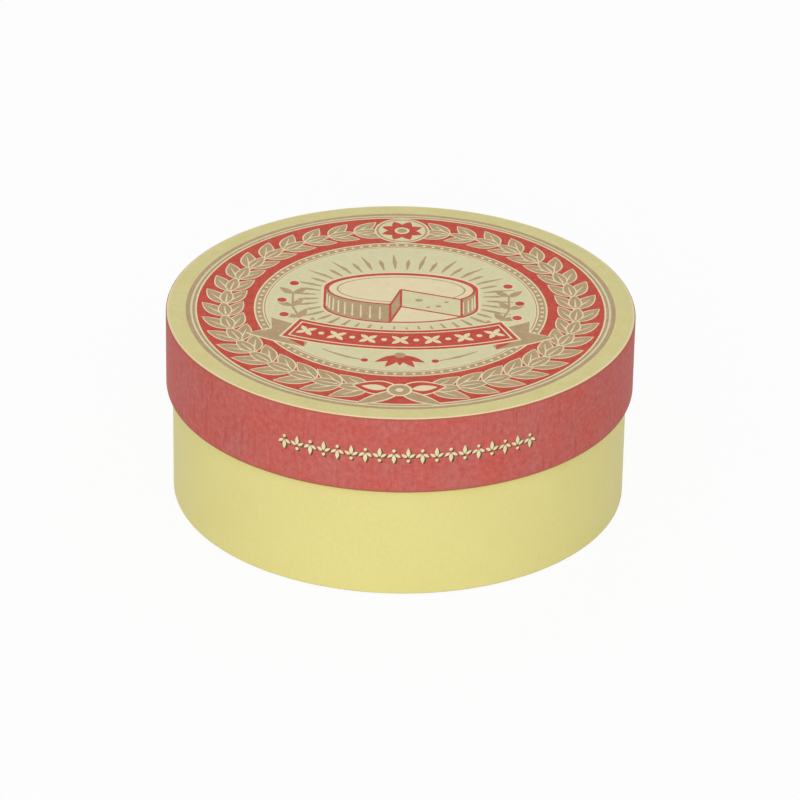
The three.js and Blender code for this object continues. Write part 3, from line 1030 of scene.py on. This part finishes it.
# corrugated pad under the dish: two liners and the fluted middle
pad = reach("dish_pad")
padPiece = dict(liner=0.45 * mm, pitch=6.4 * mm, medium=0.28 * mm, inset=0.2 * mm, columns=220, segments=160)
kraftFinish = dict(
    plainFinish, deep=(0.39, 0.225, 0.095), light=(0.47, 0.285, 0.135), thread=0.35,
    threadColour=(0.53, 0.35, 0.19), cloud=130.0, fibre=1300.0, relief=0.35)


def makeFluteTree():
    tree, take = openTree("flutedDisc", Radius=57 * mm, Pitch=6.4 * mm, Depth=2 * mm, Level=3 * mm,
                          Thickness=0.3 * mm, Columns=220)
    radius, across = take["Radius"], 1.998  # a hair under 2, so that no column shrinks to a point
    u, v, _ = addWire(tree, "GeometryNodeInputPosition").parts()  # the grid lies from -0.5 to 0.5
    x = u * across * radius
    y = v * 2.0 * (radius * radius - x * x).then("SQRT")
    lift = (x / take["Pitch"] * math.tau).then("SINE") * take["Depth"] * 0.5
    grid = addWire(tree, "GeometryNodeMeshGrid", Vertices_X=take["Columns"], Vertices_Y=3)
    wave = addWire(tree, "GeometryNodeSetPosition", Geometry=grid,
                   Position=vector(tree, x, y, take["Level"] + lift))
    upper = addWire(tree, "GeometryNodeExtrudeMesh", mode="FACES", Mesh=wave, Offset_Scale=take["Thickness"],
                    Individual=False)
    both = joinWires(tree, [upper, addWire(tree, "GeometryNodeFlipFaces", Mesh=wave)])
    both = addWire(tree, "GeometryNodeMergeByDistance", Geometry=both, Distance=weldGap)
    return closeTree(tree, take, both)


def padMesh():
    liner, medium, inset, segments = pick(padPiece, "liner medium inset segments")
    kraft = paperMaterial("kraftLiner", kraftFinish)
    liners = [cleanMesh(turnMesh(discSection(pad.r, z, z + liner), kraft, Segments=segments))
              for z in (pad.z0, pad.z1 - liner)]
    flutes = bakeTree(makeFluteTree(), Radius=pad.r - inset, Pitch=padPiece["pitch"], Thickness=medium,
                      Depth=pad.z1 - pad.z0 - 2 * liner - medium, Level=(pad.z0 + pad.z1 - medium) / 2,
                      Columns=padPiece["columns"], Material=kraft)
    return cleanMesh(mergeMeshes([*liners, flutes], kraft))


addPiece("dishPad", padMesh(), "box_base", "corrugated_card", "dish_pad")
print("insert and pad set")


# glazed stoneware: clouded glaze, iron specks, thin glaze on edges, bare clay where it stands
def glazeMaterial(name, look):
    material, tree, shader, place = openMaterial(name, look, specular=0.5)
    wrap = placeGroup(tree, wrapGroup, Vector=place)
    cloud = noise(tree, place, look["cloud"], detail=4.0, roughness=0.55)
    tone = mixColour(tree, cloud.spread(*softSpan), look["deep"], look["light"])
    cells = addNode(tree, "ShaderNodeTexVoronoi", Vector=place, Scale=look["speckScale"])
    chance = addWire(tree, "ShaderNodeSeparateColor", Color=Wire(cells.outputs["Color"]))
    dots = Wire(cells.outputs["Distance"]).then("LESS_THAN", look["speckSize"])
    specks = dots * chance.then("GREATER_THAN", look["speckRare"])
    tone = mixColour(tree, specks * look["speckShare"], tone, look["speck"])
    tone = rubEdges(tree, tone, look["edges"], place, wrap)
    bare = rubMask(tree, place, wrap["Height"], *pick(look, "bareLevel bareWidth bareRagged"))
    tone = mixColour(tree, bare, tone, look["clay"])
    shine = cloud.spread(0.0, 1.0, *(look["roughness"] + change for change in look["shine"]))
    plug(shader.inputs["Roughness"], shine.then("MAXIMUM", bare * look["bareRough"]))
    peel = noise(tree, place, look["peel"], detail=3.0)
    closeMaterial(tree, shader, tone, peel, look["relief"], look["peelDepth"])
    return material


dish, dishLid = reach("baker_dish"), reach("baker_lid")
thinGlaze = dict(width=0.8 * mm, ragged=0.9, share=0.55, colour=(0.55, 0.4, 0.24))
dishGlaze = dict(
    deep=(0.76, 0.705, 0.58), light=(0.82, 0.775, 0.66), cloud=70.0, roughness=0.17, shine=(-0.05, 0.08),
    speck=(0.3, 0.2, 0.11), speckScale=520.0, speckSize=0.2, speckRare=0.8, speckShare=0.6, peel=520.0,
    peelDepth=0.2 * mm, relief=0.12, clay=(0.6, 0.47, 0.33), bareLevel=dish.z0, bareWidth=1.2 * mm,
    bareRagged=0.3, bareRough=0.85,
    edges=[dict(thinGlaze, level=dish.z1, width=0.9 * mm, share=0.6),
           dict(level=dish.z0 + 6.5 * mm, width=2.5 * mm, ragged=0.6, share=0.25, colour=(0.66, 0.63, 0.52))])
lidGlaze = dict(
    dishGlaze, bareLevel=dishLid.z0, bareWidth=0.6 * mm,
    edges=[dict(thinGlaze, level=dishLid.z0 + 4.3 * mm),
           dict(thinGlaze, level=dishLid.z1 - 2.6 * mm, ragged=0.8, share=0.5)])

# millimetres; flats are radii on the floor's two faces, and the outer wall keeps fine throwing rings
# footInner and footOuter are steps out and up from where the foot ring's sides meet the underside
dishPiece = dict(
    flats=(18, 36), footIn=55.5, footOut=60.5, footHigh=1.5, footRound=0.5,
    footInner=((-1.2, 0), (-0.4, -0.3)), footOuter=((0.2, -0.3), (0.8, 0)), heel=63.5, heelRound=1.5,
    rimThick=3.0, rimRound=1.0, seat=4.0, seatRound=0.4, ledgeRound=0.6, cavity=60.0, floor=6.5, corner=6.0,
    ringHeight=0.06, ringPhase=60, wallSteps=40, cavitySteps=16,
    turn=dict(Wobble=0.14 * mm, Wobble_Scale=20.0, Seed=11.0))


def dishSection():
    look = dishPiece
    rim, z0, z1 = (size / mm for size in dish)
    footIn, footOut, footRound, heel, heelRound = pick(look, "footIn footOut footRound heel heelRound")
    rimRound, small, ledge, cavity, corner = pick(look, "rimRound seatRound ledgeRound cavity corner")
    under, floor, seat = z0 + look["footHigh"], z0 + look["floor"], z1 - look["seat"]
    inner, top, steps, footZ = rim - look["rimThick"], z1 - rimRound, look["wallSteps"], z0 + footRound
    out = [(r, under) for r in (0, *look["flats"])] + [(footIn + x, under + z) for x, z in look["footInner"]]
    out += arc(footIn + footRound, footZ, footRound, 180, 270)
    out += arc(footOut - footRound, footZ, footRound, 270, 360)
    out += [(footOut + x, under + z) for x, z in look["footOuter"]]
    out += arc(heel - heelRound, under + heelRound, heelRound, -90, 0)
    for k, (r, z) in enumerate(run(out[-1], (rim, top), steps), 1):
        out.append((r + look["ringHeight"] * math.sin(k / steps * look["ringPhase"]), z))
    out += arc(rim - rimRound, top, rimRound, 0, 90) + arc(inner + rimRound, top, rimRound, 90, 180)
    out += [(inner, seat + small)] + arc(inner - small, seat + small, small, 0, -90, steps=4)
    out += arc(cavity + ledge, seat - ledge, ledge, 90, 180)
    out += run((cavity, seat - ledge), (cavity, floor + corner), look["cavitySteps"])
    out += arc(cavity - corner, floor + corner, corner, 0, -90, steps=10)
    return [(r * mm, z * mm) for r, z in out + [(r, floor) for r in (*look["flats"][::-1], 0)]]


addTurned("bakerDish", dishSection(), glazeMaterial("stonewareDish", dishGlaze), "baker_dish",
          "glazed_stoneware", "baker_dish", **dishPiece["turn"])

# millimetres; flats are radii on the hollow's face, and bearing is where the ring it rests on starts
# hollowEdge and bearingEdge are steps out from there, and up from the hollow's face and the ring's
# dome and knob are one smooth curve, its heights over the lid's edge and, for the crown, below the top
lidPiece = dict(
    flats=(20, 40), edge=4.5, edgeRound=1.2, underRound=0.8, hollow=1.5, bearing=54.8,
    hollowEdge=((-2.2, 0), (-1.5, -0.25)), bearingEdge=((-0.3, 0.2), (0.4, 0)),
    dome=((54, 0.55), (45, 1.05), (35, 1.4), (22, 1.75), (12.5, 1.9), (9.5, 2.2), (8.6, 3.2), (8.7, 4.4),
          (10.1, 5.8), (11.6, 6.9), (12, 8.0), (11.5, 9.5), (10.2, 10.6)),
    crown=((6.5, 0.25), (3, 0.04), (0, 0)), turn=dict(Wobble=0.12 * mm, Wobble_Scale=20.0, Seed=13.0))


def curveThrough(points, steps=6):
    out = []
    for i in range(len(points) - 1):
        near = [points[max(i - 1, 0)], points[i], points[i + 1], points[min(i + 2, len(points) - 1)]]
        for t in [k / steps for k in range(steps)]:
            out.append(tuple(0.5 * (2 * b + (c - a) * t + (2 * a - 5 * b + 4 * c - d) * t * t
                                    + (3 * b - a - 3 * c + d) * t ** 3) for a, b, c, d in zip(*near)))
    return out + [points[-1]]


def lidSection():
    look = lidPiece
    r, z0, top = (size / mm for size in dishLid)
    edge, hollow, bearing = z0 + look["edge"], z0 + look["hollow"], look["bearing"]
    edgeRound, underRound = pick(look, "edgeRound underRound")
    out = [(x, hollow) for x in (0, *look["flats"])]
    out += [(bearing + x, hollow + z) for x, z in look["hollowEdge"]]
    out += [(bearing + x, z0 + z) for x, z in look["bearingEdge"]]
    out += arc(r - underRound, z0 + underRound, underRound, -90, 0)
    out += arc(r - edgeRound, edge - edgeRound, edgeRound, 0, 90)
    dome = [out.pop()] + [(x, edge + z) for x, z in look["dome"]] + [(x, top - z) for x, z in look["crown"]]
    return [(x * mm, z * mm) for x, z in out + curveThrough(dome)]


addTurned("bakerLid", lidSection(), glazeMaterial("stonewareLid", lidGlaze), "baker_lid", "glazed_stoneware",
          "baker_lid", foldAngle=60, **lidPiece["turn"])
print("baker set")

# hidden board keeps its CAD shape
boardFinish = dict(
    plainFinish, deep=(0.27, 0.245, 0.2), light=(0.37, 0.34, 0.29), thread=0.45,
    threadColour=(0.45, 0.42, 0.37), cloud=400.0, fibre=1500.0, relief=0.4)
greyBoard = paperMaterial("greyBoard", boardFinish)
for node in ("base_wall_board", "base_floor_board", "lid_rim_board", "lid_top_board"):
    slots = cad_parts[node].data.materials
    slots.clear()
    slots.append(greyBoard)


# what the camera, gloss and glass see of the studio; the rest only lights the object
def seenShare(tree):
    path = addNode(tree, "ShaderNodeLightPath")
    camera, glossy, through = (Wire(path.outputs[key]) for key in (
        "Is Camera Ray", "Is Glossy Ray", "Is Transmission Ray"))
    return camera.then("MAXIMUM", glossy.then("MAXIMUM", through))


# stage: white floor that keeps a soft shadow
floorStage = dict(half=6.0, drop=0.2 * mm, colour=(0.93, 0.93, 0.93), roughness=0.9, white=0.92)


def makeFloor():
    half, z = floorStage["half"], -floorStage["drop"]
    corners = [(-half, -half, z), (half, -half, z), (half, half, z), (-half, half, z)]
    mesh = bpy.data.meshes.new("floor")
    mesh.from_pydata(corners, [], [(0, 1, 2, 3)])
    material = bpy.data.materials.new("floorWhite")
    material.use_nodes = True
    tree = material.node_tree
    shader = tree.nodes["Principled BSDF"]
    plug(shader.inputs["Base Color"], floorStage["colour"])
    plug(shader.inputs["Roughness"], floorStage["roughness"])
    blend = addNode(tree, "ShaderNodeMixShader")
    plug(blend.inputs[0], seenShare(tree) * floorStage["white"])
    plug(blend.inputs[1], Wire(shader.outputs[0]))
    plug(blend.inputs[2], addWire(tree, "ShaderNodeEmission", Color=(1, 1, 1)))
    plug(tree.nodes["Material Output"].inputs[0], Wire(blend.outputs[0]))
    arrange(tree)
    mesh.materials.append(material)
    addObject("floor", mesh)


makeFloor()

lights = dict(
    world=0.62, aim=(0, 0, 0.035), lamps=dict(
        front=dict(place=(0.1, -2.0, 0.9), size=1.6, power=16.4, glint=True),
        side=dict(place=(-0.85, -1.8, 0.8), size=1.6, power=7.0, glint=True),
        back=dict(place=(0.0, 2.2, 0.32), size=0.6, power=14.0, glint=False)))


def makeLights():
    scene.world = bpy.data.worlds.new("studio")
    scene.world.use_nodes = True
    tree = scene.world.node_tree
    sky = tree.nodes["Background"]
    plug(sky.inputs["Color"], (1, 1, 1))
    plug(sky.inputs["Strength"], seenShare(tree).spread(0.0, 1.0, lights["world"], 1.0))
    arrange(tree)
    for name, given in lights["lamps"].items():
        lamp = addObject(name, bpy.data.lights.new(name, "AREA"))
        lamp.data.energy = given["power"]
        lamp.data.size = given["size"]
        lamp.location = given["place"]
        lamp.visible_camera = False
        lamp.visible_glossy = given["glint"]
        lamp.rotation_mode = "QUATERNION"
        lamp.rotation_quaternion = (Vector(lights["aim"]) - lamp.location).to_track_quat("-Z", "Y")


makeLights()

shot = dict(distance=1.6676, elevation=28.06, roll=0.95, lens=223.8, sensor=36, clip=(0.1, 20),
            aim=(0.00023, -0.00149))


def makeCamera():
    camera = addObject("camera", bpy.data.cameras.new("camera"))
    camera.data.lens = shot["lens"]
    camera.data.sensor_width = shot["sensor"]
    camera.data.clip_start, camera.data.clip_end = shot["clip"]
    away, up = polar(1.0, math.radians(shot["elevation"]))
    back = Vector((0, -away, up))
    roll = Matrix.Rotation(math.radians(shot["roll"]), 3, "Z")
    turn = (-back).to_track_quat("-Z", "Y").to_matrix() @ roll
    camera.rotation_mode = "QUATERNION"
    camera.rotation_quaternion = turn.to_quaternion()
    middle = Vector((0, 0, (cadLow.z + cadHigh.z) / 2))
    camera.location = middle + back * shot["distance"] + turn @ Vector((*shot["aim"], 0))
    scene.camera = camera


makeCamera()
scene.view_settings.view_transform = "Standard"

print("scene ready")
